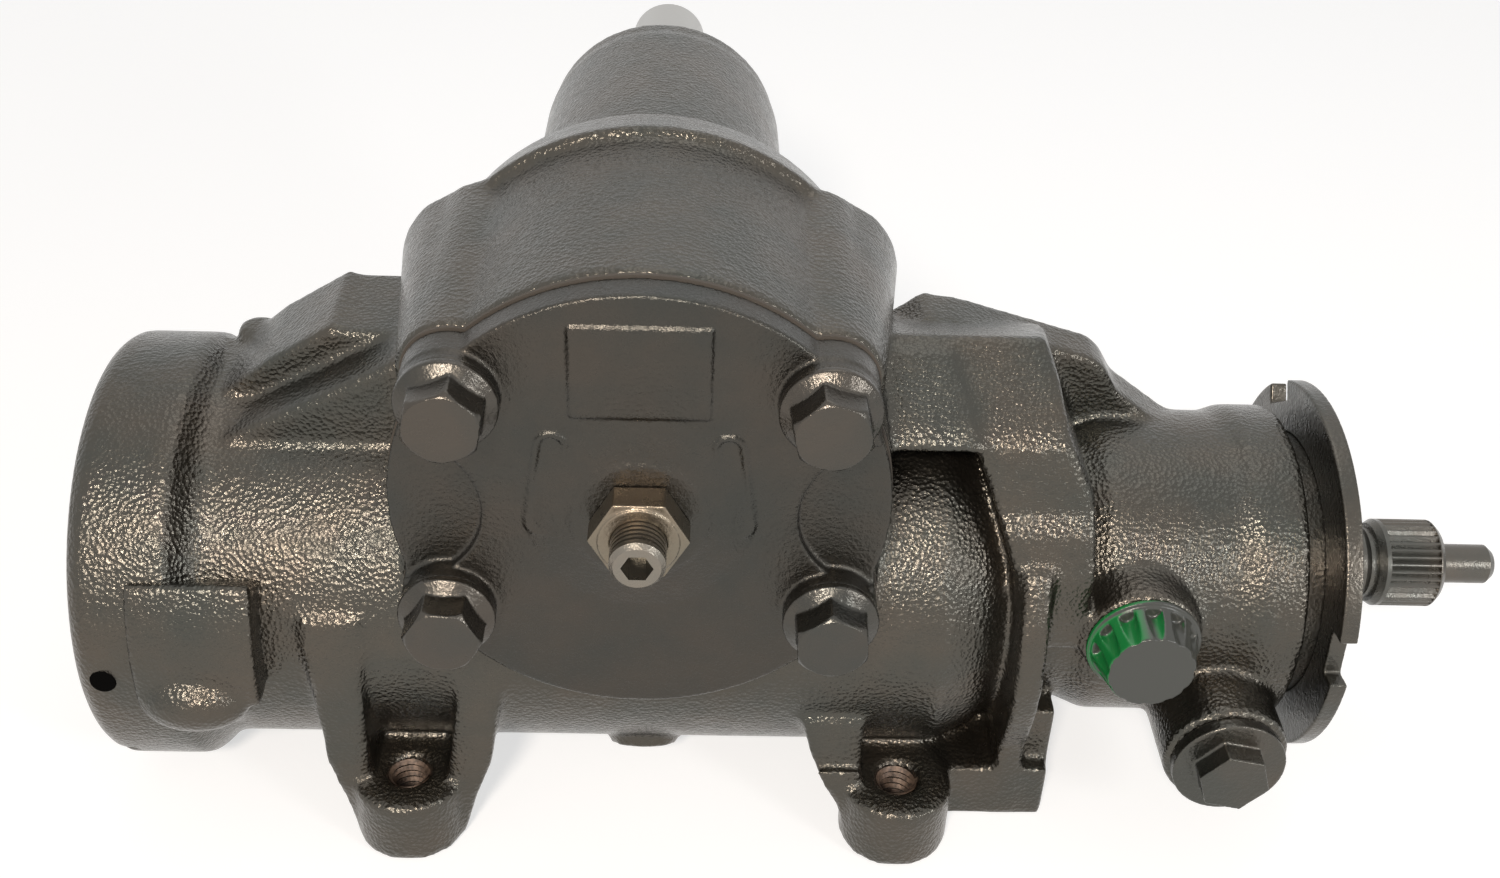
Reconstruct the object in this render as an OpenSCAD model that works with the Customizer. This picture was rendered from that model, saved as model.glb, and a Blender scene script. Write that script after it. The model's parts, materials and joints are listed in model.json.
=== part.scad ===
// Recirculating-ball power steering gear, standing on its two front mounting feet.
// Millimetres. X runs along the worm towards the input shaft, Y along the output
// shaft towards its serrated end, Z up. The origin lies midway between the two
// foot holes on the mounting plane. Shapes below are drawn about the worm axis
// and the sector axis and moved into that frame by at_worm().

/* [Housing] */
// Bore of the power cylinder
bore_d = 76.2; // [75.6:0.1:76.8]
// Wall of the power cylinder
cylinder_wall = 5.9; // [5.4:0.1:6.6]
// Sector axis to the face of the ring end
ring_end_l = 121; // [120.5:0.5:125]
// Sector axis to the face of the valve end
valve_end_l = 147.5; // [147:0.5:151]
// Distance between the two mounting holes
foot_spacing = 111; // [107:1:115]

/* [Output] */
// Worm axis to sector axis
centre_distance = 49; // [48.7:0.1:49.3]
// Input turns for one turn of the output shaft
steering_ratio = 16; // [14:0.5:17]
// Diameter of the output tube
tube_d = 65; // [64:0.5:68]
// Sector mid-plane to the end of the output tube
tube_l = 130; // [128:1:136]
// Sector mid-plane to the end of the output shaft
output_l = 200; // [196:1:208]

/* [Side cover] */
// Radius of the round part of the cover
cover_r = 51; // [50:0.5:52.5]
// Thickness of the cover between its bolt pads
cover_t = 7; // [6.5:0.25:8]
// Radius of the bolt circle
bolt_circle_r = 45.8; // [45.2:0.1:46.4]

/* [Input] */
// Diameter of the input spline
spline_d = 21; // [19.5:0.1:21.5]
// Sector axis to the tip of the input shaft
input_l = 204.5; // [202:0.5:208]

/* [Hidden] */
$fn = 64;

// Clearances: a running fit, and open air between parts that pass each other
run_fit = 0.06;
air = 0.4;

// Power cylinder
bore_r = bore_d / 2;
cylinder_r = bore_r + cylinder_wall;
ring_r = cylinder_r + 5.5;
// Worm axis above the mounting plane and behind the mounting holes
axis_h = cylinder_r + 2;
axis_back = bore_r + 6.9;
// Sector axis to the middle of the two mounting holes, along the worm
foot_shift = 3;
ring_band_l = 25;
ring_x = -ring_end_l;
end_seat_r = bore_r + 2.6;
end_plug_x = ring_x + 5;
end_plug_t = 9;

// Valve end
valve_r = 37;
valve_bore_r = 25.4;
shoulder_x = 60;
shoulder_t = 5;
adjuster_r = 31.5;
adjuster_x = valve_end_l - 17;

// Output side: gasket face, rear shoulder of the sector case and the tube
gasket_y = -bore_r - 4.9;
gasket_t = 0.8;
case_end_y = 18;
tube_r = tube_d / 2;
sector_z = centre_distance;
sector_y0 = -19;
sector_y1 = 17;
cavity_r = 37.5;
journal_r = 15.875;
bushing_r = journal_r + 2.5;
bearing_r = 20.6;
seal_seat_r = 22.6;
bearing_y0 = 28;
bearing_y1 = 66;
seal_y0 = tube_l - 38;

// Sector and rack teeth
pressure_angle = 25;
sector_pitch_r = 26;
teeth_per_turn = 12;
tooth_angle = 360 / teeth_per_turn;
rack_pitch = PI * 2 * sector_pitch_r / teeth_per_turn;
addendum = 3.6;
tooth_clearance = 1.0;
backlash = 0.6;
base_r = sector_pitch_r * cos(pressure_angle);
sector_tip_r = sector_pitch_r + addendum;
sector_root_r = sector_pitch_r - addendum - tooth_clearance;
rack_pitch_z = centre_distance - sector_pitch_r;
rack_tip_z = rack_pitch_z + addendum;

// Ball screw
lead = 2 * PI * sector_pitch_r / steering_ratio;
ball_r = 3.57;
groove_r = 3.95;
ball_circle_r = 11.4;
worm_r = 10.9;
worm_groove_l = 68;
nut_bore_r = ball_circle_r + ball_r + 0.35;
ball_step = 40;
ball_turns = 2;

// Rack piston
piston_r = bore_r - run_fit;
// Travel of the rack piston each way, and the room left beyond it
piston_travel = 20.2;
head_x0 = end_plug_x + end_plug_t + piston_travel + 1.6;
head_x1 = -52;
rack_x1 = 36;
guide_leg_x = 13;
guide_z = -bore_r + 13.1;

// Torsion bar, stub shaft and valve
bar_r = 3.2;
stub_r = 9.5;
spool_r = 12.9;
valve_x0 = 78;
valve_x1 = valve_end_l - 25;
valve_l = valve_x1 - valve_x0;
// Seal ring grooves and the oil grooves between them, along the valve body
seal_groove_x = [for (f = [0.17, 0.5, 0.83]) valve_x0 + f * valve_l];
oil_groove_x = [for (f = [0.335, 0.665]) valve_x0 + f * valve_l];
worm_head_x0 = shoulder_x + shoulder_t + 6.2;
worm_head_x1 = 82;
worm_head_r = 19;
spline_r = spline_d / 2;
spline_x1 = input_l - 14.5;
spline_x0 = spline_x1 - 16;
nose_r = spline_r * 0.45;
spline_count = 36;

// Side cover
cover_back_y = gasket_y - gasket_t;
cover_face_y = cover_back_y - cover_t;
bolt_angles = [38, 142, 211, 329];
lobe_r = 10.5;
// Raised pads under the bolt heads
pad_y = cover_face_y - 3;
bolt_r = 4.7;
bolt_drill_r = 4.1;
flange_r = 10;
hex_r = 8.25;
adjuster_screw_r = 5.55;
boss_y = cover_face_y - 2;
nut_t = 7;
screw_tip_y = boss_y - 14.6;

// Feet and ports
foot_boss_r = 12.6;
foot_t = 16.7;
left_foot_x = foot_shift - foot_spacing / 2;
right_foot_x = foot_shift + foot_spacing / 2;
foot_hole_r = 4.72;
port_r = 8;
pressure_port = [valve_end_l - 37.5, 8, -40];
return_port = [valve_end_l - 16.5, -17, -50];
bolt_depth = 9.5;

// Frame helpers
module at_worm() translate([-foot_shift, axis_back, axis_h]) children();
module along_x(x) translate([x, 0, 0]) rotate([0, 90, 0]) children();
module along_y(y) translate([0, y, sector_z]) rotate([-90, 0, 0]) children();
module rod_x(r, x0, x1) along_x(x0) cylinder(r = r, h = x1 - x0);
module rod_y(r, y0, y1) along_y(y0) cylinder(r = r, h = y1 - y0);
module ring_x_axis(r1, r0, x0, x1) difference() {
  rod_x(r1, x0, x1);
  rod_x(r0, x0 - 1, x1 + 1);
}
module ring_y_axis(r1, r0, y0, y1) difference() {
  rod_y(r1, y0, y1);
  rod_y(r0, y0 - 1, y1 + 1);
}
// Stands a drawing made in X and Z upright, filling y0 to y1
module upright(y0, y1) translate([0, y1, 0]) rotate([90, 0, 0]) linear_extrude(y1 - y0) children();
// Moves children to each cover bolt, drawn with Y still the depth
module at_bolts() for (a = bolt_angles)
  translate([bolt_circle_r * cos(a), 0, sector_z + bolt_circle_r * sin(a)]) children();
module rod_back(r, y0, y1) translate([0, y0, 0]) rotate([-90, 0, 0]) cylinder(r = r, h = y1 - y0);
module hex_back(r, y0, y1) translate([0, y0, 0]) rotate([-90, 0, 0]) cylinder(r = r, h = y1 - y0, $fn = 6);

// Outline shared by the cover, its gasket and the case: a round with four bolt lobes
module cover_outline(grow) translate([0, sector_z]) {
  circle(r = cover_r + grow);
  for (a = bolt_angles) rotate(a) translate([bolt_circle_r, 0]) circle(r = lobe_r + grow);
  // Flat sides between the upper and the lower lobes
  polygon([for (a = bolt_angles) [
    bolt_circle_r * cos(a) + sign(cos(a)) * (lobe_r + grow - 0.5),
    bolt_circle_r * sin(a)]]);
}

// Housing

module cylinder_outside() rotate([0, 90, 0]) rotate_extrude() polygon([
  [0, ring_x], [ring_r - 2.5, ring_x], [ring_r, ring_x + 3], [ring_r, ring_x + ring_band_l - 4],
  [cylinder_r + 1.2, ring_x + ring_band_l], [cylinder_r, ring_x + ring_band_l + 3],
  [cylinder_r, 66], [cylinder_r - 3, 74], [valve_r - 4, 88], [valve_r - 4, 97], [valve_r - 1, 104],
  [valve_r - 1, valve_end_l - 15], [valve_r + 0.6, valve_end_l - 11], [valve_r + 0.6, valve_end_l],
  [0, valve_end_l]
]);

// Upper bolt lobe of the case: it grows and sinks towards the rear
module case_lobe(side) {
  front = [side * bolt_circle_r * cos(bolt_angles[0]), gasket_y - 4, sector_z + bolt_circle_r * sin(bolt_angles[0])];
  rear = [side * 39, case_end_y, sector_z + 19];
  reach = rear - front;
  translate(front) rotate([0, acos(reach[2] / norm(reach)), atan2(reach[1], reach[0])])
    cylinder(r1 = lobe_r + 0.3, r2 = 16.6, h = norm(reach));
}

module sector_case() {
  upright(gasket_y, case_end_y) cover_outline(0);
  case_lobe(-1);
  case_lobe(1);
  // Sides that widen towards the rear
  side_w = bolt_circle_r * cos(bolt_angles[0]) + lobe_r - 0.5;
  translate([0, 0, sector_z - 11]) linear_extrude(31) polygon([
    [-side_w, gasket_y], [side_w, gasket_y], [side_w + 8.5, case_end_y - 3], [-side_w - 8.5, case_end_y - 3]
  ]);
  // Round rear shoulder and output tube
  along_y(case_end_y - 3) cylinder(r1 = cover_r + 2.5, r2 = cover_r - 1, h = 15);
  along_y(case_end_y + 11) cylinder(r1 = cover_r - 1.4, r2 = tube_r + 1, h = 13);
  along_y(case_end_y) cylinder(r1 = tube_r + 1.2, r2 = tube_r, h = tube_l - case_end_y - 8);
  rod_y(tube_r - 0.8, case_end_y, tube_l);
}

// Wedge on the ring-end side of the case, taller behind than in front, with a small round boss
module left_gusset() {
  upright(-17, 0) polygon([[-92, 30], [-91, 41.5], [-53, 62], [-40, 62], [-40, 30]]);
  upright(-4, 22) polygon([
    [-104, 30], [-101, 41.5], [-92, 46], [-83.5, 53], [-68.5, 62.4], [-65.5, 61.3], [-40, 61.3], [-40, 30]
  ]);
  translate([-91, 21, 30]) cylinder(r = 4.8, h = 17.5);
}

// Stepped block between the case and the valve end: a side profile cut to a front outline
module block_profile() translate([41, 0, 0]) rotate([90, 0, 90]) linear_extrude(60) polygon([
  [14, 57], [-8, 66.5], [-25, 54], [-28, 51], [-32, 36.5], [-35, 33.5], [-38.5, 22], [-38.5, 0], [14, 0]
]);
module right_block() {
  intersection() {
    block_profile();
    upright(-45, 15) polygon([
      [40, 50], [40, 72], [83, 72], [88.5, 60], [90, 53], [96.5, 40], [97.5, 28], [97.5, 4],
      [83, 4], [80, 24], [76.5, 34], [70, 50]
    ]);
  }
  // Inner half, one casting step higher
  intersection() {
    translate([0, -1, 0.8]) block_profile();
    upright(-45, 8) polygon([[40, 50.5], [40, 65], [65, 65], [71.5, 50.5]]);
  }
}

// Plate behind the block that slopes down to the valve end
module rear_plate() upright(8, 20) polygon([
  [40, 20], [40, 56], [55, 56], [62, 61.4], [71, 60], [101.5, 51], [104.5, 48.5], [108.5, 42], [129, 27], [129, 20]
]);

// Round mounting boss with its slab back to the cylinder
module foot(x) {
  translate([x, -axis_back, -axis_h]) cylinder(r = foot_boss_r, h = foot_t);
  translate([x - foot_boss_r + 1.2, -axis_back, -axis_h])
    cube([2 * foot_boss_r - 2.4, axis_back - 12, foot_t - 1]);
}

// Rib that climbs from a foot to the cylinder: a side profile cut to a tapering front outline
module foot_rib(top_z, outline) intersection() {
  translate([-90, 0, 0]) rotate([90, 0, 90]) linear_extrude(180) polygon([
    [-15, top_z], [gasket_y - 0.4, top_z], [-axis_back - 1.5, top_z - 14], [-axis_back - 3, -axis_h + foot_t + 5],
    [-axis_back - 4, -axis_h + foot_t - 2], [-axis_back - 4, -axis_h], [-15, -axis_h]
  ]);
  upright(-60, 0) polygon(outline);
}

module left_foot_ribs(x) {
  foot_rib(13, [[x - 20.5, 14], [x - 8, 14], [x - 8, -axis_h - 1], [x - 11.5, -axis_h - 1], [x - 14.5, -34], [x - 17.5, -25]]);
  foot_rib(3, [
    [x + 13.5, 4], [x + 23.5, 4], [x + 19, -25], [x + 15.5, -34], [x + 12, -axis_h - 1], [x + 7, -axis_h - 1], [x + 9.5, -25]
  ]);
}
module right_foot_rib(x) foot_rib(-14, [
  [x - 23, -13], [x - 8.5, -13], [x - 8.5, -axis_h - 1], [x - 11, -axis_h - 1], [x - 13.5, -36], [x - 20, -24]
]);

// Web around the front of the cylinder that ties the right foot to the block
module front_web() {
  intersection() {
    rod_x(cylinder_r + 3, 81.5, 88);
    translate([70, -60, -axis_h]) cube([30, 58, axis_h + 26]);
  }
  translate([81.5, -41.2, -axis_h]) cube([6.5, 40, 40]);
}

module right_foot_plate() {
  translate([right_foot_x - 6, -40.6, -axis_h]) cube([42, 40, foot_t - 2]);
  translate([86, -36, -axis_h]) cube([9, 35, 29]);
}

// Oil passage bump: an upright round-ended boss tied to the ring band
module oil_passage() translate([ring_x + 25, -35, 0]) {
  translate([0, 0, -10]) sphere(r = 12);
  translate([0, 0, -10]) cylinder(r = 12, h = 22);
  translate([-18, 0, -6]) rotate([0, 90, 0]) cylinder(r = 11, h = 18);
}

module port_boss(p, r) translate([p[0], 0, p[1]]) rod_back(r, p[2], -10);

module housing_outside() {
  cylinder_outside();
  sector_case();
  left_gusset();
  right_block();
  rear_plate();
  foot(left_foot_x);
  foot(right_foot_x);
  left_foot_ribs(left_foot_x);
  right_foot_rib(right_foot_x);
  front_web();
  right_foot_plate();
  oil_passage();
  port_boss(pressure_port, 13.2);
  port_boss(return_port, 14);
  // Drain nub under the middle of the cylinder
  rotate([-35, 0, 0]) translate([0, 0, -cylinder_r - 2.5]) cylinder(r = 8, h = 6);
}

module housing_inside() {
  rod_x(bore_r, ring_x - 1, shoulder_x);
  rod_x(end_seat_r, ring_x - 1, end_plug_x + end_plug_t);
  rod_x(end_seat_r + 2, end_plug_x - 2.4, end_plug_x);
  rod_x(15, shoulder_x - 1, shoulder_x + shoulder_t + 1);
  rod_x(valve_bore_r, shoulder_x + shoulder_t, adjuster_x + 1);
  rod_x(adjuster_r, adjuster_x, valve_end_l + 1);
  // Sector room, bearing bore and seal bore
  rod_y(cavity_r, gasket_y - 1, case_end_y);
  rod_y(journal_r + 1.2, case_end_y - 1, tube_l);
  rod_y(bearing_r, bearing_y0, tube_l);
  rod_y(seal_seat_r, seal_y0, tube_l + 1);
  rod_y(seal_seat_r + 1.6, tube_l - 8.4, tube_l - 6);
  at_bolts() rod_back(bolt_drill_r, gasket_y - 1, gasket_y + bolt_depth);
  // Machined face that the cover seats on
  upright(gasket_y - 40, gasket_y) cover_outline(5);
  for (x = [left_foot_x, right_foot_x]) translate([x, -axis_back, -axis_h - 1])
    cylinder(r = foot_hole_r, h = foot_t + 2);
  for (p = [pressure_port, return_port]) translate([p[0], 0, p[1]]) {
    rod_back(port_r, p[2] - 1, p[2] + 14);
    translate([-4.2, 0, 0]) rod_back(3.5, p[2] + 13, -12);
  }
  // Punch hole for freeing the retaining ring
  translate([end_plug_x - 1.2, 0, 0]) rotate([128, 0, 0]) cylinder(r = 2, h = ring_r + 5);
}

module housing() at_worm() color([0.30, 0.28, 0.26]) difference() {
  housing_outside();
  housing_inside();
}

// Side cover and lash adjuster

// Slim raised oval: a stadium outline standing on the cover face
module oval_rim(x, tilt) translate([x, 0, sector_z + 7.3]) rotate([0, tilt, 0]) difference() {
  upright(cover_face_y - 0.6, cover_face_y + 1) oval(3.2);
  upright(cover_face_y - 2, cover_face_y + 2) oval(2.4);
}
module oval(r) {
  translate([0, 9.3]) circle(r = r);
  translate([0, -9.3]) circle(r = r);
  square([2 * r, 18.6], center = true);
}

// Low cone with the spot-faced boss of the adjuster in its middle
module cover_dome() along_y(cover_back_y) rotate([180, 0, 0]) rotate_extrude() polygon([
  [0, 0], [30, 0], [30, cover_t - 1], [22, cover_t + 0.2], [14.5, cover_t + 1.5], [13.2, cover_t + 2], [0, cover_t + 2]
]);

// Plate of the cover with D-shaped scoops between the upper and the lower bolts
module cover_plate() difference() {
  upright(cover_face_y, cover_back_y) cover_outline(-0.6);
  for (s = [-1, 1]) translate([s * 49.5, cover_face_y - 1, sector_z]) rotate([-90, 0, 0]) cylinder(r = 18, h = 3.4);
}

module side_cover() at_worm() color([0.36, 0.34, 0.32]) difference() {
  union() {
    cover_plate();
    cover_dome();
    at_bolts() rod_back(lobe_r - 0.9, pad_y, cover_back_y);
    rod_y(cavity_r - air, cover_back_y - 1, gasket_y + 3);
    rod_y(bushing_r + 2.6, cover_back_y - 1, sector_y0 - 1);
    // Bare raised plate
    translate([-13.4, cover_face_y - 0.7, sector_z + 23.6]) cube([26.8, 3, 20]);
    oval_rim(-18.5, 7.5);
    oval_rim(18.5, -7.5);
  }
  // Pocket for the shaft end and its bushing
  rod_y(bushing_r, cover_back_y, sector_y0);
  rod_y(journal_r + 0.5, cover_back_y - 3, sector_y0);
  rod_y(adjuster_screw_r, cover_face_y - 10, cover_back_y);
  at_bolts() rod_back(bolt_r + 0.4, pad_y - 1, gasket_y + 1);
}

module side_cover_gasket() at_worm() color([0.14, 0.13, 0.12]) difference() {
  upright(cover_back_y, gasket_y) cover_outline(-0.2);
  rod_y(cavity_r + 0.1, cover_back_y - 1, gasket_y + 1);
  at_bolts() rod_back(bolt_r + 0.4, cover_back_y - 1, gasket_y + 1);
}

module side_cover_bushing() at_worm() color([0.62, 0.48, 0.28])
  ring_y_axis(bushing_r, journal_r + run_fit, cover_back_y, sector_y0 - 1);

module flange_bolt() {
  rod_back(flange_r, pad_y - 1.6, pad_y);
  translate([0, pad_y - 1.6, 0]) rotate([90, 0, 0]) cylinder(r1 = flange_r, r2 = 7.4, h = 1.8);
  difference() {
    hex_back(hex_r, pad_y - 9.5, pad_y - 1);
    // Chamfered corners of the head
    translate([0, pad_y - 10, 0]) rotate([-90, 0, 0]) difference() {
      cylinder(r = 12, h = 2);
      translate([0, 0, -0.1]) cylinder(r1 = 6.6, r2 = 8.6, h = 2.2);
    }
  }
  rod_back(bolt_drill_r, pad_y - 2, gasket_y + bolt_depth - 1);
}

module side_cover_bolts() at_worm() color([0.30, 0.28, 0.27]) for (i = [0:3]) {
  a = bolt_angles[i];
  translate([bolt_circle_r * cos(a), 0, sector_z + bolt_circle_r * sin(a)])
    rotate([0, 17 + 23 * i, 0]) flange_bolt();
}

module lash_adjuster_screw() at_worm() color([0.62, 0.58, 0.50]) difference() {
  union() {
    rod_y(adjuster_screw_r, screw_tip_y + 1, cover_back_y - 1);
    along_y(screw_tip_y) cylinder(r1 = adjuster_screw_r - 0.9, r2 = adjuster_screw_r, h = 1);
    rod_y(4.2, cover_back_y - 2, -39);
    rod_y(7.6, -39, -35.5);
  }
  // Hex socket, and thread roots on the length that stands out of the nut
  along_y(screw_tip_y - 1) cylinder(r = 3.2, h = 7, $fn = 6);
  for (y = [screw_tip_y + 2.2 : 1.27 : boss_y - nut_t - 1.2]) along_y(y) difference() {
    cylinder(r = adjuster_screw_r + 1, h = 0.6);
    translate([0, 0, -1]) cylinder(r = adjuster_screw_r - 0.55, h = 3);
  }
}

module lash_adjuster_nut() at_worm() color([0.50, 0.47, 0.42]) difference() {
  union() {
    along_y(boss_y - nut_t + 0.5) cylinder(r = 10.1, h = nut_t - 0.5, $fn = 6);
    along_y(boss_y - nut_t) cylinder(r1 = 8, r2 = 8.6, h = nut_t);
  }
  rod_y(adjuster_screw_r, boss_y - 9, boss_y + 1);
}

// Output shaft

function involute(a) = tan(a) * 180 / PI - a;
function flank_angle(r) = tooth_angle / 4 - backlash / 2 / sector_pitch_r * 180 / PI
  + involute(pressure_angle) - involute(acos(min(1, base_r / r)));
function on_flank(r, side) = [r * sin(side * flank_angle(r)), -r * cos(flank_angle(r))];

module sector_tooth() polygon(concat(
  [on_flank(base_r, -1) * 0.88],
  [for (i = [0:6]) on_flank(base_r + (sector_tip_r - base_r) * i / 6, -1)],
  [for (i = [6:-1:0]) on_flank(base_r + (sector_tip_r - base_r) * i / 6, 1)],
  [on_flank(base_r, 1) * 0.88]
));

module pitman_shaft() at_worm() color([0.45, 0.44, 0.43]) difference() {
  union() {
    upright(sector_y0, sector_y1) translate([0, sector_z]) {
      circle(r = sector_root_r);
      for (a = [-1, 0, 1]) rotate(a * tooth_angle) sector_tooth();
    }
    rod_y(journal_r, cover_back_y + 0.6, sector_y0);
    rod_y(journal_r, sector_y1, tube_l - 2);
    along_y(tube_l - 2) cylinder(r1 = journal_r, r2 = journal_r - 1.7, h = output_l - tube_l - 28);
    rod_y(10, output_l - 31, output_l - 26);
    rod_y(11.1, output_l - 27, output_l - 1.5);
    along_y(output_l - 1.5) cylinder(r1 = 11.1, r2 = 9.6, h = 1.5);
  }
  // Serrations around the tapered seat
  for (i = [0:31]) along_y(tube_l + 4) rotate(i * 360 / 32) translate([journal_r + 0.5, 0, -1])
    rotate([0, -2, 0]) rotate(45) cube([2.2, 2.2, 90], center = true);
  // T-slot for the head of the lash screw
  rod_y(8.1, -39.4, -35);
  rod_y(4.8, -60, -39);
  translate([-4.8, -60, sector_z]) cube([9.6, 21, 30]);
  translate([-8.1, -39.4, sector_z]) cube([16.2, 4.4, 30]);
}

module pitman_bearing_shell() at_worm() color([0.55, 0.55, 0.55])
  ring_y_axis(bearing_r, journal_r + 3.4, bearing_y0, bearing_y1);

module pitman_bearing_rollers() at_worm() color([0.70, 0.70, 0.70]) for (i = [0:23])
  along_y(bearing_y0 + 2) rotate(i * 15) translate([journal_r + 1.72, 0, 0])
    cylinder(r = 1.62, h = bearing_y1 - bearing_y0 - 4);

module shaft_seal(y0, y1) ring_y_axis(seal_seat_r, journal_r + run_fit, y0, y1);
module pitman_inner_seal() at_worm() color([0.10, 0.10, 0.10]) shaft_seal(seal_y0, seal_y0 + 9);
module pitman_backup_washer() at_worm() color([0.50, 0.50, 0.50]) difference() {
  rod_y(seal_seat_r, seal_y0 + 9, seal_y0 + 11);
  rod_y(journal_r + 0.5, seal_y0 + 8, seal_y0 + 12);
}
module pitman_outer_seal() at_worm() color([0.10, 0.10, 0.10]) shaft_seal(seal_y0 + 11, tube_l - 8.4);
module pitman_retaining_ring() at_worm() color([0.40, 0.40, 0.40]) difference() {
  ring_y_axis(seal_seat_r + 1.5, seal_seat_r - 2, tube_l - 8.4, tube_l - 6.2);
  translate([-4, tube_l - 10, sector_z + 10]) cube([8, 6, 20]);
}

// Rack piston

module rack_spaces() upright(-40, 40) for (i = [-1, 0, 1]) translate([i * rack_pitch, rack_pitch_z]) polygon([
  [-rack_pitch / 4 - (addendum + 1) * tan(pressure_angle), addendum + 1],
  [-rack_pitch / 4 + (addendum + tooth_clearance) * tan(pressure_angle), -addendum - tooth_clearance],
  [rack_pitch / 4 - (addendum + tooth_clearance) * tan(pressure_angle), -addendum - tooth_clearance],
  [rack_pitch / 4 + (addendum + 1) * tan(pressure_angle), addendum + 1]
]);

module rack_piston() at_worm() color([0.50, 0.49, 0.47]) difference() {
  rod_x(piston_r, head_x0, rack_x1);
  rod_x(nut_bore_r, head_x0 + 6, rack_x1 + 1);
  rod_x(22, head_x0 - 1, head_x0 + 8);
  // Seal ring groove
  ring_x_axis(piston_r + 1, piston_r - 4, head_x0 + 12, head_x0 + 17);
  // Flat of the rack, its tooth spaces, and the flat that carries the ball guide
  translate([head_x1, -50, rack_tip_z]) cube([200, 100, 50]);
  rack_spaces();
  translate([-26, -16, -60]) cube([52, 32, 60 + guide_z - 1.5]);
  ball_guide(5.4);
  for (s = [-1, 1]) translate([s * guide_leg_x, 0, guide_z]) cylinder(r = 5.4, h = -guide_z - 13);
  for (s = [-1, 1]) translate([0, s * 10.5, guide_z - 3]) cylinder(r = 1.9, h = 7);
}

module rack_piston_ring() at_worm() color([0.16, 0.15, 0.15])
  ring_x_axis(bore_r - 0.05, piston_r - 4, head_x0 + 12.1, head_x0 + 16.9);

module rack_piston_plug() at_worm() color([0.52, 0.52, 0.52]) difference() {
  rod_x(22, head_x0, head_x0 + 8);
  translate([head_x0 - 1, -6.4, -6.4]) cube([5, 12.8, 12.8]);
}

// Bent return tube split along its length into two stamped halves
module ball_guide(r) {
  for (s = [-1, 1]) translate([s * guide_leg_x, 0, guide_z - 0.5]) cylinder(r = r, h = 9);
  translate([-guide_leg_x, 0, guide_z - 0.5]) rotate([0, 90, 0]) cylinder(r = r, h = 2 * guide_leg_x);
  for (s = [-1, 1]) translate([s * guide_leg_x, 0, guide_z - 0.5]) sphere(r = r);
}
module ball_guide_halves() at_worm() color([0.58, 0.57, 0.55]) for (s = [0, 1]) mirror([0, s, 0])
  intersection() {
    difference() {
      ball_guide(5.1);
      ball_guide(4);
    }
    translate([-30, 0.05, -50]) cube([60, 20, 60]);
  }

module ball_guide_clamp() at_worm() color([0.48, 0.48, 0.48]) difference() {
  translate([-5, -15, guide_z - 8.2]) cube([10, 30, 6.7]);
  translate([-6, 0, guide_z - 0.5]) rotate([0, 90, 0]) cylinder(r = 5.2, h = 12);
  for (s = [-1, 1]) translate([0, s * 10.5, -50]) cylinder(r = 1.9, h = 60);
}

module ball_guide_screws() at_worm() color([0.40, 0.40, 0.40]) for (s = [-1, 1]) translate([0, s * 10.5, 0]) {
  translate([0, 0, guide_z - 9.8]) cylinder(r = 3.2, h = 1.6);
  translate([0, 0, guide_z - 8.3]) cylinder(r = 1.9, h = 12);
}

module recirculating_balls() at_worm() color([0.80, 0.80, 0.80]) {
  rotate([0, 90, 0]) for (a = [-360 * ball_turns / 2 : ball_step : 360 * ball_turns / 2])
    translate([ball_circle_r * cos(a), ball_circle_r * sin(a), lead * a / 360]) sphere(r = ball_r);
  for (i = [-1, 0, 1]) translate([i * 7.4, 0, guide_z - 0.5]) sphere(r = ball_r);
}

// Worm and rotary valve

// Cross-section of the ball groove: the axial arc of the groove unrolled over one turn
function groove_depth(a) = groove_r * groove_r - pow(lead * a / 360, 2);
function worm_radius(a) = groove_depth(a) > 0 ? min(worm_r, ball_circle_r - sqrt(groove_depth(a))) : worm_r;

module worm_thread() along_x(-worm_groove_l / 2) rotate(-180 * worm_groove_l / lead)
  linear_extrude(worm_groove_l, twist = -360 * worm_groove_l / lead, slices = 100, $fn = 24)
    polygon([for (a = [-180:15:165]) worm_radius(a) * [cos(a), sin(a)]]);

module worm_shaft() at_worm() color([0.55, 0.54, 0.52]) difference() {
  union() {
    worm_thread();
    rod_x(9, worm_groove_l / 2 - 1, worm_head_x0 + 1);
    rod_x(worm_head_r, worm_head_x0, worm_head_x1);
  }
  rod_x(bar_r, 30, worm_head_x1 + 1);
  rod_x(spool_r - 2, worm_head_x1 - 6, worm_head_x1 + 1);
}

module worm_thrust_races() at_worm() color([0.66, 0.66, 0.66]) {
  ring_x_axis(23.5, 15.5, shoulder_x + shoulder_t, shoulder_x + shoulder_t + 1.6);
  ring_x_axis(23.5, 15.5, worm_head_x0 - 1.6, worm_head_x0 - 0.05);
}
module worm_thrust_rollers() at_worm() color([0.75, 0.75, 0.75]) for (i = [0:17]) rotate([i * 20, 0, 0])
  translate([(shoulder_x + shoulder_t + worm_head_x0) / 2, 0, 16.5]) cylinder(r = 1.42, h = 6);

module valve_body() at_worm() color([0.52, 0.52, 0.54]) difference() {
  rod_x(valve_bore_r - run_fit, valve_x0, valve_x1);
  rod_x(spool_r + run_fit, valve_x0 - 1, valve_x1 + 1);
  rod_x(worm_head_r, valve_x0 - 1, worm_head_x1);
  // Three seal ring grooves and two oil grooves between them
  for (x = seal_groove_x) ring_x_axis(valve_bore_r + 1, valve_bore_r - 3, x - 1.5, x + 1.5);
  for (x = oil_groove_x) ring_x_axis(valve_bore_r + 1, valve_bore_r - 4, x - 3, x + 3);
  for (k = [0, 1], i = [0:3]) rotate([i * 90 + k * 45, 0, 0]) translate([oil_groove_x[k], 0, 0])
    cylinder(r = 1.8, h = valve_bore_r);
}

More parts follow.
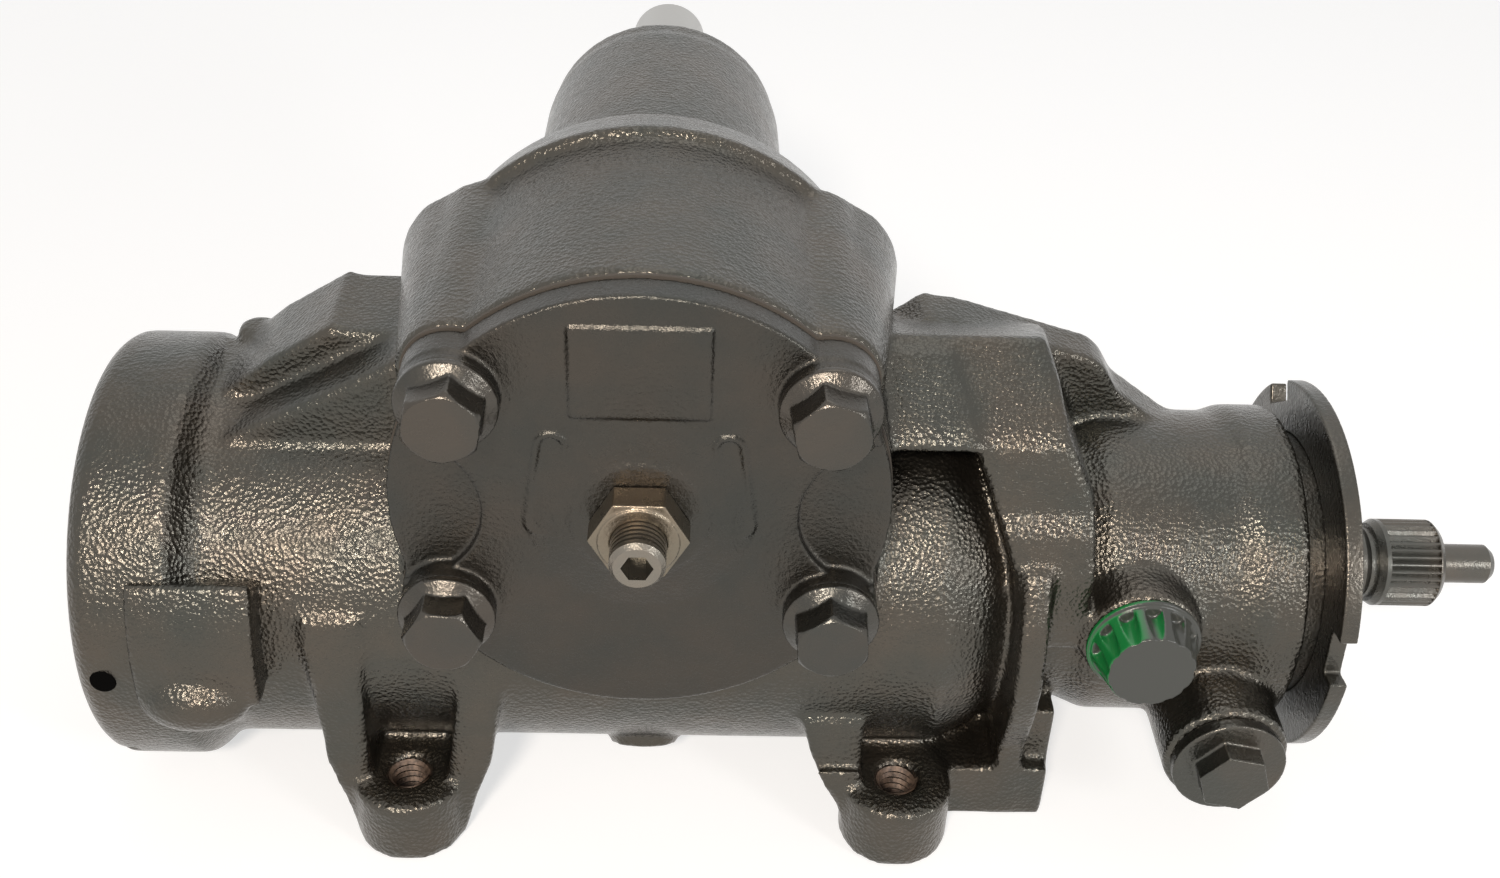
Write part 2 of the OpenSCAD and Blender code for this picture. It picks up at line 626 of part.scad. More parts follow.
module valve_seal_rings() at_worm() color([0.18, 0.18, 0.18]) for (x = seal_groove_x)
  ring_x_axis(valve_bore_r - 0.05, valve_bore_r - 3, x - 1.4, x + 1.4);

// Spool, journal, spline with its flat, and pilot nose in one shaft
module stub_shaft() at_worm() color([0.42, 0.41, 0.40]) difference() {
  union() {
    rod_x(spool_r - 2.3, worm_head_x1 - 5.5, worm_head_x1 + 1);
    rod_x(spool_r, worm_head_x1 + 0.4, valve_x1);
    rod_x(stub_r, valve_x1 - 1, spline_x0 - 3);
    along_x(spline_x0 - 3) cylinder(r1 = stub_r, r2 = stub_r - 1, h = 1.5);
    rod_x(stub_r - 1, spline_x0 - 2, spline_x0 + 1);
    along_x(spline_x0) cylinder(r1 = stub_r, r2 = spline_r, h = 1.5);
    rod_x(spline_r, spline_x0 + 1.5, spline_x1 - 1.2);
    along_x(spline_x1 - 1.2) cylinder(r1 = spline_r, r2 = spline_r - 1.2, h = 1.2);
    rod_x(nose_r, spline_x1 - 1, input_l - 1.5);
    along_x(input_l - 1.5) cylinder(r1 = nose_r, r2 = nose_r - 1.3, h = 1.5);
  }
  rod_x(bar_r + 0.5, worm_head_x1 - 7, spline_x0 - 12);
  rod_x(bar_r, spline_x0 - 13, spline_x0);
  translate([spline_x0 - 7, -20, 0]) rotate([-90, 0, 0]) cylinder(r = 1.6, h = 40);
  // Eight lengthwise spool slots
  for (i = [0:7]) rotate([i * 45 + 22.5, 0, 0]) translate([worm_head_x1 + 8, -1.5, spool_r - 2])
    cube([valve_x1 - worm_head_x1 - 16, 3, 5]);
  // Splines, left plain on the flat that sets the coupling
  for (i = [4:spline_count - 4]) rotate([180 + i * 360 / spline_count, 0, 0])
    translate([spline_x0 + 2.5, 0, spline_r]) rotate([45, 0, 0])
      translate([0, -0.55, -0.55]) cube([spline_x1 - spline_x0 - 4, 1.1, 1.1]);
  translate([spline_x0 + 2.5, -10, -spline_r - 4.6]) cube([spline_x1 - spline_x0, 20, 5]);
}

module torsion_bar() at_worm() color([0.60, 0.60, 0.60]) difference() {
  rod_x(bar_r - 0.02, 31, spline_x0 - 0.5);
  translate([spline_x0 - 7, -20, 0]) rotate([-90, 0, 0]) cylinder(r = 1.6, h = 40);
}
module torsion_bar_pin() at_worm() color([0.66, 0.66, 0.66])
  translate([spline_x0 - 7, 1 - stub_r, 0]) rotate([-90, 0, 0]) cylinder(r = 1.58, h = 2 * stub_r - 2);

// Adjuster plug and the small parts it carries

plug_face_x = valve_end_l + 10.5;
lock_x = valve_end_l + 5;
lock_t = 4;
lock_r = valve_r + 6.8;
lock_notch_w = 11;
lock_notch_depth = 5.2;

module adjuster_plug() at_worm() color([0.38, 0.37, 0.36]) difference() {
  union() {
    rod_x(adjuster_r - 0.05, adjuster_x + 0.5, plug_face_x);
    rod_x(valve_bore_r - 0.1, valve_x1 + 3, adjuster_x + 1);
  }
  rod_x(stub_r + 0.6, valve_x1, plug_face_x + 1);
  rod_x(13, valve_x1 + 2, adjuster_x + 8);
  rod_x(15.5, valve_end_l - 8, plug_face_x + 1);
  ring_x_axis(valve_bore_r + 1, valve_bore_r - 2, valve_x1 + 4, valve_x1 + 6.4);
  // Groove for the wire retaining ring and two spanner holes
  rod_x(16.5, plug_face_x - 3, plug_face_x - 1.4);
  for (s = [-1, 1]) translate([plug_face_x - 5, 0, s * 23]) rotate([0, 90, 0]) cylinder(r = 3, h = 6);
}

module adjuster_plug_o_ring() at_worm() color([0.08, 0.08, 0.08])
  ring_x_axis(valve_bore_r - 0.03, valve_bore_r - 2, valve_x1 + 4.1, valve_x1 + 6.3);

module stub_bearing_shell() at_worm() color([0.60, 0.60, 0.60])
  ring_x_axis(13, stub_r + run_fit, valve_x1 + 4, adjuster_x + 8);

module upper_thrust_washer() at_worm() color([0.70, 0.70, 0.70])
  ring_x_axis(20, stub_r + 0.8, valve_x1 + 0.1, valve_x1 + 3);

module stub_shaft_seal() at_worm() color([0.10, 0.10, 0.10])
  ring_x_axis(15.5, stub_r + run_fit, valve_end_l - 8, valve_end_l);
module stub_dust_seal() at_worm() color([0.12, 0.12, 0.12])
  ring_x_axis(15.5, stub_r + run_fit, valve_end_l, plug_face_x - 3.2);
module stub_retaining_ring() at_worm() color([0.40, 0.40, 0.40])
  ring_x_axis(16.4, 13.4, plug_face_x - 2.9, plug_face_x - 1.5);

// Thin lock ring with hook-spanner notches in its rim
module adjuster_lock_ring() at_worm() color([0.30, 0.29, 0.28]) difference() {
  ring_x_axis(lock_r, adjuster_r, lock_x, lock_x + lock_t);
  for (i = [0:2]) rotate([i * 120 - 37, 0, 0])
    translate([lock_x - 1, -lock_notch_w / 2, lock_r - lock_notch_depth])
      cube([lock_t + 2, lock_notch_w, lock_notch_depth + 2]);
}

// Ring end

module end_plug() at_worm() color([0.36, 0.35, 0.34]) difference() {
  rod_x(end_seat_r - 0.02, end_plug_x, end_plug_x + end_plug_t);
  rod_x(26, end_plug_x - 1, end_plug_x + 4);
  ring_x_axis(end_seat_r + 1, end_seat_r - 2.4, end_plug_x + 3.4, end_plug_x + 6.2);
}
module end_plug_o_ring() at_worm() color([0.08, 0.08, 0.08])
  ring_x_axis(end_seat_r - 0.02, end_seat_r - 2.4, end_plug_x + 3.5, end_plug_x + 6.1);
module end_plug_retaining_ring() at_worm() color([0.42, 0.42, 0.42]) difference() {
  ring_x_axis(end_seat_r + 1.9, end_seat_r - 2, end_plug_x - 2.3, end_plug_x);
  translate([end_plug_x - 5, -3, 20]) cube([8, 6, 40]);
}

// Hydraulic ports

module port_seat(p) translate([p[0], 0, p[1]]) difference() {
  rod_back(5.2, p[2] + 8, p[2] + 14);
  rod_back(2.6, p[2] + 7, p[2] + 15);
}
module port_seats() at_worm() color([0.70, 0.56, 0.28]) {
  port_seat(pressure_port);
  port_seat(return_port);
}

// Push-in shipping plug with a fluted grip
module pressure_port_plug() at_worm() color([0.16, 0.55, 0.24]) translate([pressure_port[0], 0, pressure_port[1]]) {
  y = pressure_port[2];
  rod_back(12.6, y - 1.2, y);
  rod_back(port_r - 0.05, y - 1, y + 7.5);
  difference() {
    translate([0, y - 1, 0]) rotate([90, 0, 0]) cylinder(r1 = 11.8, r2 = 9.5, h = 8.5);
    for (i = [0:11]) rotate([0, i * 30, 0]) translate([11, y - 12, 0]) rotate([-90, 0, 0]) cylinder(r = 1.8, h = 10.2);
  }
}

// Threaded plug with a round collar and a hex head
module return_port_plug() at_worm() color([0.30, 0.29, 0.28]) translate([return_port[0], 0, return_port[1]]) {
  y = return_port[2];
  rod_back(12.6, y - 3, y);
  rod_back(port_r - 0.05, y - 1, y + 7.5);
  rotate([0, 12, 0]) hex_back(8.2, y - 8, y - 2);
}

housing();
side_cover();
side_cover_gasket();
side_cover_bushing();
side_cover_bolts();
lash_adjuster_screw();
lash_adjuster_nut();
pitman_shaft();
pitman_bearing_shell();
pitman_bearing_rollers();
pitman_inner_seal();
pitman_backup_washer();
pitman_outer_seal();
pitman_retaining_ring();
rack_piston();
rack_piston_ring();
rack_piston_plug();
ball_guide_halves();
ball_guide_clamp();
ball_guide_screws();
recirculating_balls();
worm_shaft();
worm_thrust_races();
worm_thrust_rollers();
valve_body();
valve_seal_rings();
stub_shaft();
torsion_bar();
torsion_bar_pin();
adjuster_plug();
adjuster_plug_o_ring();
stub_bearing_shell();
upper_thrust_washer();
stub_shaft_seal();
stub_dust_seal();
stub_retaining_ring();
adjuster_lock_ring();
end_plug();
end_plug_o_ring();
end_plug_retaining_ring();
port_seats();
pressure_port_plug();
return_port_plug();
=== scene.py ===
import json
import math

import bmesh
import bpy
from mathutils import Matrix, Vector


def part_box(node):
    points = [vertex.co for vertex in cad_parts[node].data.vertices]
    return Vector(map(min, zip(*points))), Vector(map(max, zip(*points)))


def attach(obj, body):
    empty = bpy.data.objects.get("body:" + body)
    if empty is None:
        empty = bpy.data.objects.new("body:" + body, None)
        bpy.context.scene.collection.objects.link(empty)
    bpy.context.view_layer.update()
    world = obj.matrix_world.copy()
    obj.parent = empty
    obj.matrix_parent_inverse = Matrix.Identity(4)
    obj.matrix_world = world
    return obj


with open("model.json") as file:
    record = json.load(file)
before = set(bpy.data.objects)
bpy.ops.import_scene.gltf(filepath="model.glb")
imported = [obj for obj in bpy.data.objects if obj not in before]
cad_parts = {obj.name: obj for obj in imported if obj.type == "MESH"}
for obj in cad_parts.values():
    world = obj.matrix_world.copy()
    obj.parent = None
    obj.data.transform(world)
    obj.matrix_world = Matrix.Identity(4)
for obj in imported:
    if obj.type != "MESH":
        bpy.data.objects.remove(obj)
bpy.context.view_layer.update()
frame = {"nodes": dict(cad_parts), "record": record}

MM = 0.001
nodes = frame["nodes"]
scene = bpy.context.scene


# Camera: the photo was taken from above the side cover, with a slight roll
PHOTO_WIDTH = 1500
FOCAL_PIXELS = 1700
SENSOR_WIDTH = 36.0
NEAREST_SEEN = 10 * MM
CAMERA_AT = Vector((6.9, -273.8, 302.0)) * MM
CAMERA_PITCH = 35.0
CAMERA_YAW = 2.4
CAMERA_ROLL = 2.58


def add_camera():
    data = bpy.data.cameras.new("photo_camera")
    data.sensor_width = SENSOR_WIDTH
    data.lens = FOCAL_PIXELS / PHOTO_WIDTH * SENSOR_WIDTH
    data.clip_start = NEAREST_SEEN
    camera = bpy.data.objects.new("photo_camera", data)
    scene.collection.objects.link(camera)
    yaw = Matrix.Rotation(math.radians(-CAMERA_YAW), 4, "Z")
    pitch = Matrix.Rotation(math.radians(90 - CAMERA_PITCH), 4, "X")
    roll = Matrix.Rotation(math.radians(CAMERA_ROLL), 4, "Z")
    camera.matrix_world = Matrix.Translation(CAMERA_AT) @ yaw @ pitch @ roll
    scene.camera = camera


# Shader helpers
NOISE_ROUGHNESS = 0.55


def new_material(name):
    material = bpy.data.materials.new(name)
    material.use_nodes = True
    tree = material.node_tree
    return material, tree, tree.nodes["Principled BSDF"]


def node(tree, kind, **values):
    made = tree.nodes.new(kind)
    for key, value in values.items():
        if key in made.inputs:
            made.inputs[key].default_value = value
        else:
            setattr(made, key, value)
    return made


def on_object(tree, texture):
    coordinates = node(tree, "ShaderNodeTexCoord")
    tree.links.new(coordinates.outputs["Object"], texture.inputs["Vector"])
    return texture


def noise(tree, scale, detail):
    texture = node(tree, "ShaderNodeTexNoise", Scale=scale, Detail=detail, Roughness=NOISE_ROUGHNESS)
    return on_object(tree, texture)


def pits(tree, scale):
    return on_object(tree, node(tree, "ShaderNodeTexVoronoi", Scale=scale))


def bump(tree, height, distance, strength, before=None):
    made = node(tree, "ShaderNodeBump", Distance=distance, Strength=strength)
    tree.links.new(height, made.inputs["Height"])
    if before is not None:
        tree.links.new(before.outputs["Normal"], made.inputs["Normal"])
    return made


def ramp(tree, factor, low, high, start=0.3, end=0.7):
    made = node(tree, "ShaderNodeValToRGB")
    made.color_ramp.elements[0].color = low
    made.color_ramp.elements[0].position = start
    made.color_ramp.elements[1].color = high
    made.color_ramp.elements[1].position = end
    tree.links.new(factor, made.inputs["Fac"])
    return made


def grey(value):
    return (value, value, value, 1.0)


def opaque(colour):
    return list(colour) + [1.0]


def tinted(colour, tint):
    return opaque(part * share for part, share in zip(colour, tint))


# Metallic paint: sand-cast pits, a fine grain, and patches that turn a little from grey to brown.
# Scales are repeats in a metre.
PIT_SCALE = 1050.0
PIT_HEIGHT = 1.0 * MM
GRAIN_SCALE = 2800.0
GRAIN_HEIGHT = 0.3 * MM
UNEVEN_SCALE = 260.0
PATCH_SCALE = 45.0
WARM_TINT = (1.14, 1.06, 1.0)
COOL_TINT = (0.88, 0.94, 0.95)
SMOOTHER = 0.05
ROUGHER = 0.07
PAINT_METALLIC = 0.9
COAT_WEIGHT = 0.15
COAT_ROUGHNESS = 0.2


def painted(name, colour, lumps, grain, gloss):
    material, tree, shader = new_material(name)
    coarse = pits(tree, PIT_SCALE)
    fine = noise(tree, GRAIN_SCALE, 2.0)
    uneven = noise(tree, UNEVEN_SCALE, 2.0)
    patches = noise(tree, PATCH_SCALE, 4.0)
    cool = tinted(colour, COOL_TINT)
    warm = tinted(colour, WARM_TINT)
    tone = ramp(tree, patches.outputs["Fac"], cool, warm, 0.35, 0.65)
    rough = ramp(tree, uneven.outputs["Fac"], grey(gloss - SMOOTHER), grey(gloss + ROUGHER))
    first = bump(tree, coarse.outputs["Distance"], PIT_HEIGHT, lumps)
    second = bump(tree, fine.outputs["Fac"], GRAIN_HEIGHT, grain, first)
    tree.links.new(tone.outputs["Color"], shader.inputs["Base Color"])
    tree.links.new(rough.outputs["Color"], shader.inputs["Roughness"])
    tree.links.new(second.outputs["Normal"], shader.inputs["Normal"])
    tree.links.new(second.outputs["Normal"], shader.inputs["Coat Normal"])
    shader.inputs["Metallic"].default_value = PAINT_METALLIC
    shader.inputs["Coat Weight"].default_value = COAT_WEIGHT
    shader.inputs["Coat Roughness"].default_value = COAT_ROUGHNESS
    return material


# Bare metal with a faint grain
METAL_GRAIN_SCALE = 900.0
METAL_GRAIN_HEIGHT = 0.2 * MM
METAL_GRAIN_STRENGTH = 0.3


def bare_metal(name, colour, gloss):
    material, tree, shader = new_material(name)
    fine = noise(tree, METAL_GRAIN_SCALE, 3.0)
    grain = bump(tree, fine.outputs["Fac"], METAL_GRAIN_HEIGHT, METAL_GRAIN_STRENGTH)
    tree.links.new(grain.outputs["Normal"], shader.inputs["Normal"])
    shader.inputs["Base Color"].default_value = opaque(colour)
    shader.inputs["Metallic"].default_value = 1.0
    shader.inputs["Roughness"].default_value = gloss
    return material


# Rubber, seal plastic and gasket paper
def plain(name, colour, gloss):
    material, _, shader = new_material(name)
    shader.inputs["Base Color"].default_value = opaque(colour)
    shader.inputs["Roughness"].default_value = gloss
    return material


# Painted shade: a near-black material that stands for the dark inside of a hole, which gives back almost
# no light
def deep_shade():
    material, _, shader = new_material("deep_shade")
    shader.inputs["Base Color"].default_value = grey(0.004)
    shader.inputs["Roughness"].default_value = 0.9
    shader.inputs["Specular IOR Level"].default_value = 0.0
    return material


# Green plastic; the paint sprayed over the gear lies on its front face, top and right
PLASTIC_GREEN = (0.008, 0.17, 0.04, 1.0)
SPRAY_GREY = (0.045, 0.048, 0.043, 1.0)
SPRAY_SIDE = (0.5, -0.95, 0.16)
SPRAY_TO_RIGHT = 0.7
SPRAY_EDGE = (0.02, 0.25)
PLUG_ROUGHNESS = 0.28


# From -1 at the left of a piece to 1 at its right
def across(tree, geometry, name):
    low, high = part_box(name)
    width = high[0] - low[0]
    scaled = node(tree, "ShaderNodeVectorMath", operation="DOT_PRODUCT")
    scaled.inputs[1].default_value = (2 / width, 0.0, 0.0)
    tree.links.new(geometry.outputs["Position"], scaled.inputs[0])
    centred = node(tree, "ShaderNodeMath", operation="SUBTRACT")
    centred.inputs[1].default_value = (high[0] + low[0]) / width
    tree.links.new(scaled.outputs["Value"], centred.inputs[0])
    return centred.outputs["Value"]


def green_plug():
    material, tree, shader = new_material("green_plug")
    geometry = node(tree, "ShaderNodeNewGeometry")
    facing = node(tree, "ShaderNodeVectorMath", operation="DOT_PRODUCT")
    facing.inputs[1].default_value = SPRAY_SIDE
    tree.links.new(geometry.outputs["True Normal"], facing.inputs[0])
    amount = node(tree, "ShaderNodeMath", operation="MULTIPLY_ADD")
    amount.inputs[1].default_value = SPRAY_TO_RIGHT
    tree.links.new(across(tree, geometry, "pressure_port_plug"), amount.inputs[0])
    tree.links.new(facing.outputs["Value"], amount.inputs[2])
    spray = ramp(tree, amount.outputs["Value"], grey(0.0), grey(1.0), *SPRAY_EDGE)
    mix = node(tree, "ShaderNodeMixRGB", Color1=PLASTIC_GREEN, Color2=SPRAY_GREY)
    tree.links.new(spray.outputs["Color"], mix.inputs["Fac"])
    tree.links.new(mix.outputs["Color"], shader.inputs["Base Color"])
    shader.inputs["Roughness"].default_value = PLUG_ROUGHNESS
    return material


# Rusty steel of the threads in the feet
RUST_SCALE = 900.0
DARK_RUST = (0.04, 0.027, 0.02, 1.0)
PALE_RUST = (0.19, 0.13, 0.095, 1.0)


def rust():
    material, tree, shader = new_material("rusty_thread")
    patches = noise(tree, RUST_SCALE, 3.0)
    tone = ramp(tree, patches.outputs["Fac"], DARK_RUST, PALE_RUST)
    tree.links.new(tone.outputs["Color"], shader.inputs["Base Color"])
    shader.inputs["Metallic"].default_value = 0.35
    shader.inputs["Roughness"].default_value = 0.5
    return material


# Which piece has which material

def give(material, *names):
    for name in names:
        mesh = nodes[name].data
        mesh.materials.clear()
        mesh.materials.append(material)


def paint_outside():
    cast = painted("cast_paint", (0.076, 0.071, 0.061), lumps=0.26, grain=0.3, gloss=0.23)
    give(cast, "housing")
    cover = painted("cover_paint", (0.054, 0.051, 0.045), lumps=0.12, grain=0.4, gloss=0.28)
    give(cover, "side_cover")
    bolt = painted("bolt_paint", (0.068, 0.064, 0.057), lumps=0.07, grain=0.25, gloss=0.25)
    give(bolt, "side_cover_bolts")
    fitting = painted("fitting_paint", (0.078, 0.074, 0.065), lumps=0.1, grain=0.25, gloss=0.27)
    give(fitting, "return_port_plug", "adjuster_plug", "adjuster_lock_ring", "end_plug")
    shaft = painted("shaft_paint", (0.11, 0.103, 0.092), lumps=0.04, grain=0.2, gloss=0.3)
    give(shaft, "stub_shaft")
    nut = painted("nut_paint", (0.19, 0.163, 0.125), lumps=0.06, grain=0.3, gloss=0.3)
    give(nut, "lash_adjuster_nut")
    screw = painted("screw_paint", (0.2, 0.183, 0.158), lumps=0.04, grain=0.25, gloss=0.3)
    give(screw, "lash_adjuster_screw")


def finish_metal():
    ground = bare_metal("ground_steel", (0.44, 0.43, 0.41), gloss=0.3)
    give(ground, "pitman_shaft", "worm_shaft", "valve_body", "torsion_bar")
    bearing = bare_metal("bearing_steel", (0.62, 0.62, 0.62), gloss=0.2)
    give(bearing, "pitman_bearing_shell", "pitman_bearing_rollers", "worm_thrust_races",
         "worm_thrust_rollers", "stub_bearing_shell", "upper_thrust_washer", "recirculating_balls",
         "torsion_bar_pin")
    spring = bare_metal("dark_spring_steel", (0.3, 0.3, 0.3), gloss=0.4)
    give(spring, "pitman_backup_washer", "pitman_retaining_ring", "stub_retaining_ring",
         "end_plug_retaining_ring", "ball_guide_halves", "ball_guide_clamp", "ball_guide_screws")
    iron = bare_metal("machined_iron", (0.38, 0.37, 0.35), gloss=0.4)
    give(iron, "rack_piston", "rack_piston_plug")
    give(bare_metal("bronze", (0.6, 0.44, 0.22), gloss=0.35), "side_cover_bushing")
    give(bare_metal("brass", (0.72, 0.54, 0.25), gloss=0.3), "port_seats")


def finish_seals():
    rubber = plain("black_rubber", (0.02, 0.02, 0.02), gloss=0.6)
    give(rubber, "pitman_inner_seal", "pitman_outer_seal", "stub_shaft_seal", "stub_dust_seal",
         "adjuster_plug_o_ring", "end_plug_o_ring")
    give(plain("seal_plastic", (0.05, 0.045, 0.045), gloss=0.45), "rack_piston_ring", "valve_seal_rings")
    give(plain("gasket_paper", (0.07, 0.06, 0.05), gloss=0.8), "side_cover_gasket")
    give(green_plug(), "pressure_port_plug")


# Rounding: a piece is remeshed finely and smoothed, so its cast or worn edges and corners soften.
# Each piece has its voxel size and its rounds of smoothing.
SKINS = {
    "housing": (0.9 * MM, 13),
    "side_cover": (0.45 * MM, 4),
    "side_cover_bolts": (0.3 * MM, 3),
    "lash_adjuster_nut": (0.25 * MM, 3),
    "return_port_plug": (0.3 * MM, 3),
    "pressure_port_plug": (0.3 * MM, 3),
    "adjuster_lock_ring": (0.35 * MM, 3),
}
BOSS_SKIN = (0.7 * MM, 18)
SMOOTHING = 0.5


def soften(piece, voxel, rounds):
    remesh = piece.modifiers.new("cast_skin", "REMESH")
    remesh.mode = "VOXEL"
    remesh.voxel_size = voxel
    remesh.use_smooth_shade = True
    smooth = piece.modifiers.new("cast_rounding", "SMOOTH")
    smooth.factor = SMOOTHING
    smooth.iterations = rounds


def soften_castings():
    for name, skin in SKINS.items():
        soften(nodes[name], *skin)


# Detail that rides on the housing

def put_on_housing(name, mesh, material):
    mesh.materials.append(material)
    piece = bpy.data.objects.new(name, mesh)
    scene.collection.objects.link(piece)
    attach(piece, "housing")
    return piece


def finished_mesh(name, shape):
    mesh = bpy.data.meshes.new(name)
    shape.to_mesh(mesh)
    shape.free()
    return mesh


# Threads in the mounting holes: a helical ridge of the real pitch, inside each drilled hole
THREAD_PITCH = 1.814 * MM
THREAD_DEPTH = 0.75 * MM
FIRST_CREST = 0.6 * THREAD_PITCH
FOOT_HEIGHT = 16.7 * MM
STEPS_PER_TURN = 28


def thread_point(angle, radius, height):
    return (radius * math.cos(angle), radius * math.sin(angle), height)


def add_thread(name, x, radius, length, material):
    turns = int(length / THREAD_PITCH) - 1
    points = []
    faces = []
    for i in range(turns * STEPS_PER_TURN + 1):
        angle = 2 * math.pi * i / STEPS_PER_TURN
        crest = THREAD_PITCH * i / STEPS_PER_TURN + FIRST_CREST
        points.append(thread_point(angle, radius, crest - THREAD_PITCH / 2))
        points.append(thread_point(angle, radius - THREAD_DEPTH, crest))
        points.append(thread_point(angle, radius, crest + THREAD_PITCH / 2))
    for i in range(turns * STEPS_PER_TURN):
        a = 3 * i
        faces.append((a, a + 3, a + 4, a + 1))
        faces.append((a + 1, a + 4, a + 5, a + 2))
    mesh = bpy.data.meshes.new(name)
    mesh.from_pydata(points, [], faces)
    mesh.transform(Matrix.Translation((x, 0, 0)))
    put_on_housing(name, mesh, material)


def add_foot_threads():
    feet = [mount for mount in frame["record"]["mounts"] if mount["name"] == "mounting_feet"][0]
    half = feet["dims"]["spacing_x_mm"] / 2 * MM
    radius = feet["dims"]["hole_r_mm"] * MM
    material = rust()
    add_thread("left_foot_thread", -half, radius, FOOT_HEIGHT, material)
    add_thread("right_foot_thread", half, radius, FOOT_HEIGHT, material)


# Front of the ring end: the oil way's cast boss, and a dark disc of painted shade at the mouth of the
# punch hole.
# Their places are measured from the middle of the end plug's inner face.
RING_RADIUS = 49.5 * MM
NOSE_SHIFT = Vector((11.0, -48.0, -5.0)) * MM
NOSE_RADII = Vector((12.2, 7.3, 7.6)) * MM
PAD_START = -1.0 * MM
PAD_LENGTH = 26.5 * MM
PAD_RADII = (40.0 * MM, 51.3 * MM)
PAD_DEGREES = range(-6, 29)
PUNCH_SHIFT = Vector((-7.5, 0.0, 0.5)) * MM
PUNCH_RADIUS = 2.9 * MM
PUNCH_LIP = 0.25 * MM
PUNCH_SIDES = 40


def ring_end():
    low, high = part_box("end_plug")
    return Vector((high[0], (low[1] + high[1]) / 2, (low[2] + high[2]) / 2))


# A slice of the curved pad, at one angle about the worm's axis
def pad_slice(shape, centre, degrees):
    angle = math.radians(degrees)
    outward = Vector((0, -math.cos(angle), math.sin(angle)))
    inner, outer = [outward * radius for radius in PAD_RADII]
    left = centre + Vector((PAD_START, 0, 0))
    right = left + Vector((PAD_LENGTH, 0, 0))
    corners = (left + inner, left + outer, right + outer, right + inner)
    return [shape.verts.new(corner) for corner in corners]


def add_pad(shape, centre):
    slices = [pad_slice(shape, centre, degrees) for degrees in PAD_DEGREES]
    shape.faces.new(slices[0])
    for lower, upper in zip(slices, slices[1:]):
        for i in range(4):
            shape.faces.new((lower[i], lower[i - 1], upper[i - 1], upper[i]))
    shape.faces.new(slices[-1][::-1])


# A round nose under the pad, blended with it into one skin
def add_ring_end_boss():
    shape = bmesh.new()
    centre = ring_end()
    add_pad(shape, centre)
    place = Matrix.Translation(centre + NOSE_SHIFT) @ Matrix.Diagonal((*NOSE_RADII, 1.0))
    bmesh.ops.create_uvsphere(shape, u_segments=48, v_segments=24, radius=1.0, matrix=place)
    bmesh.ops.recalc_face_normals(shape, faces=shape.faces)
    paint = nodes["housing"].data.materials[0]
    boss = put_on_housing("ring_end_boss", finished_mesh("ring_end_boss", shape), paint)
    soften(boss, *BOSS_SKIN)


# A thin dark disc of painted shade that stands for the shadowed mouth of the hole
def add_punch_hole_shade():
    shape = bmesh.new()
    at = ring_end() + PUNCH_SHIFT - Vector((0, RING_RADIUS, 0))
    place = Matrix.Translation(at) @ Matrix.Rotation(math.radians(90), 4, "X")
    bmesh.ops.create_cone(shape, cap_ends=True, segments=PUNCH_SIDES, radius1=PUNCH_RADIUS,
                          radius2=PUNCH_RADIUS - PUNCH_LIP, depth=2 * PUNCH_LIP, matrix=place)
    put_on_housing("punch_hole_painted_shade", finished_mesh("punch_hole_painted_shade", shape), deep_shade())


# Studio
FLOOR_SIZE = 6.0
FLOOR_DROP = 0.5 * MM
FLOOR_GREY = 0.5
FLOOR_ROUGHNESS = 0.8
FLOOR_LIFT = 0.62
ROOM_GREY = 0.3
WARM_WHITE = (1.0, 0.89, 0.78)
WHITE = (1.0, 1.0, 1.0)
# Each lamp: its name, its place, what it points at, its size, its watts and its colour
LAMPS = [
    ("key", (-0.15, -0.72, 0.68), (0.0, 0.03, 0.06), 0.16, 7.5, WARM_WHITE),
    ("fill", (0.7, -0.6, 0.45), (0.05, 0.03, 0.06), 0.2, 2.5, WHITE),
    ("top", (0.1, 0.3, 0.9), (0.0, 0.05, 0.06), 0.6, 1.0, WHITE),
]


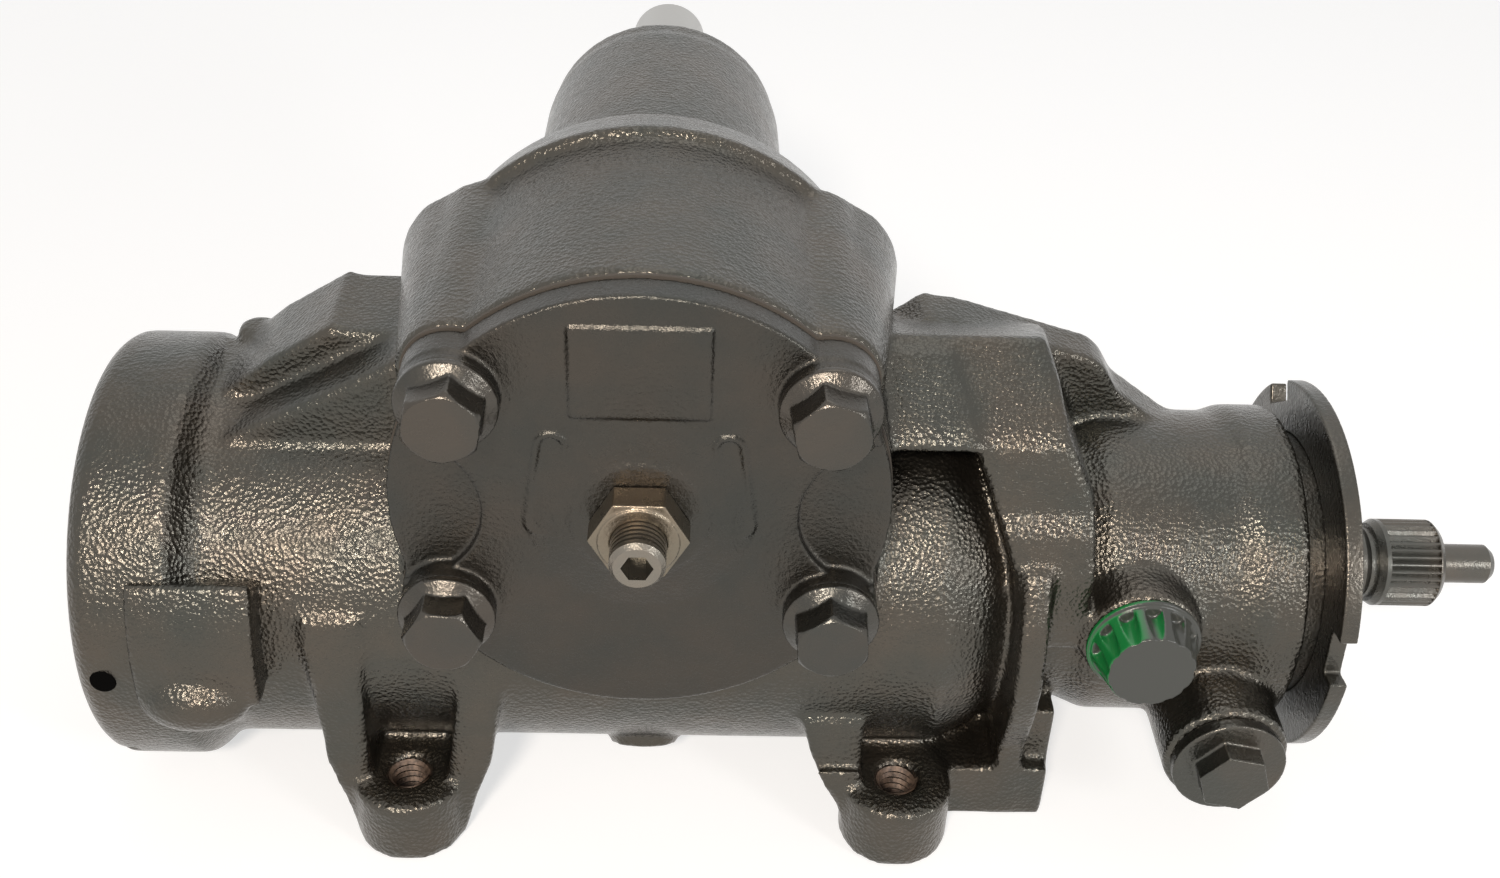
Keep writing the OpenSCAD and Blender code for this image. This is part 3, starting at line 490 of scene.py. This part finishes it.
def area_light(name, at, target, size, power, colour):
    data = bpy.data.lights.new(name, "AREA")
    data.shape = "DISK"
    data.size = size
    data.energy = power
    data.color = colour
    light = bpy.data.objects.new(name, data)
    scene.collection.objects.link(light)
    light.location = at
    light.rotation_euler = (Vector(target) - Vector(at)).to_track_quat("-Z", "Y").to_euler()


# What the camera sees straight on, in the metal and through clear parts
def seen(tree):
    path = node(tree, "ShaderNodeLightPath")
    direct = node(tree, "ShaderNodeMath", operation="ADD", use_clamp=True)
    tree.links.new(path.outputs["Is Camera Ray"], direct.inputs[0])
    tree.links.new(path.outputs["Is Glossy Ray"], direct.inputs[1])
    every = node(tree, "ShaderNodeMath", operation="ADD", use_clamp=True)
    tree.links.new(direct.outputs["Value"], every.inputs[0])
    tree.links.new(path.outputs["Is Transmission Ray"], every.inputs[1])
    return every.outputs["Value"]


# The room is white to the eye and gives a dimmer, even light
def room_air():
    world = bpy.data.worlds.new("studio_air")
    world.use_nodes = True
    tree = world.node_tree
    mix = node(tree, "ShaderNodeMixRGB", Color1=grey(ROOM_GREY), Color2=grey(1.0))
    tree.links.new(seen(tree), mix.inputs["Fac"])
    tree.links.new(mix.outputs["Color"], tree.nodes["Background"].inputs["Color"])
    return world


# A pale floor, lifted to white to the eye, that keeps the shadow
def floor_white():
    material, tree, shader = new_material("floor_white")
    shader.inputs["Base Color"].default_value = grey(FLOOR_GREY)
    shader.inputs["Roughness"].default_value = FLOOR_ROUGHNESS
    shader.inputs["Emission Color"].default_value = grey(1.0)
    lift = node(tree, "ShaderNodeMath", operation="MULTIPLY")
    lift.inputs[1].default_value = FLOOR_LIFT
    tree.links.new(seen(tree), lift.inputs[0])
    tree.links.new(lift.outputs["Value"], shader.inputs["Emission Strength"])
    return material


def add_studio():
    bpy.ops.mesh.primitive_plane_add(size=FLOOR_SIZE, location=(0, 0, -FLOOR_DROP))
    floor = bpy.context.object
    floor.name = "floor"
    floor.data.materials.append(floor_white())
    scene.world = room_air()
    for lamp in LAMPS:
        area_light(*lamp)


add_camera()
paint_outside()
finish_metal()
finish_seals()
soften_castings()
add_foot_threads()
add_ring_end_boss()
add_punch_hole_shade()
add_studio()
scene.view_settings.view_transform = "Standard"
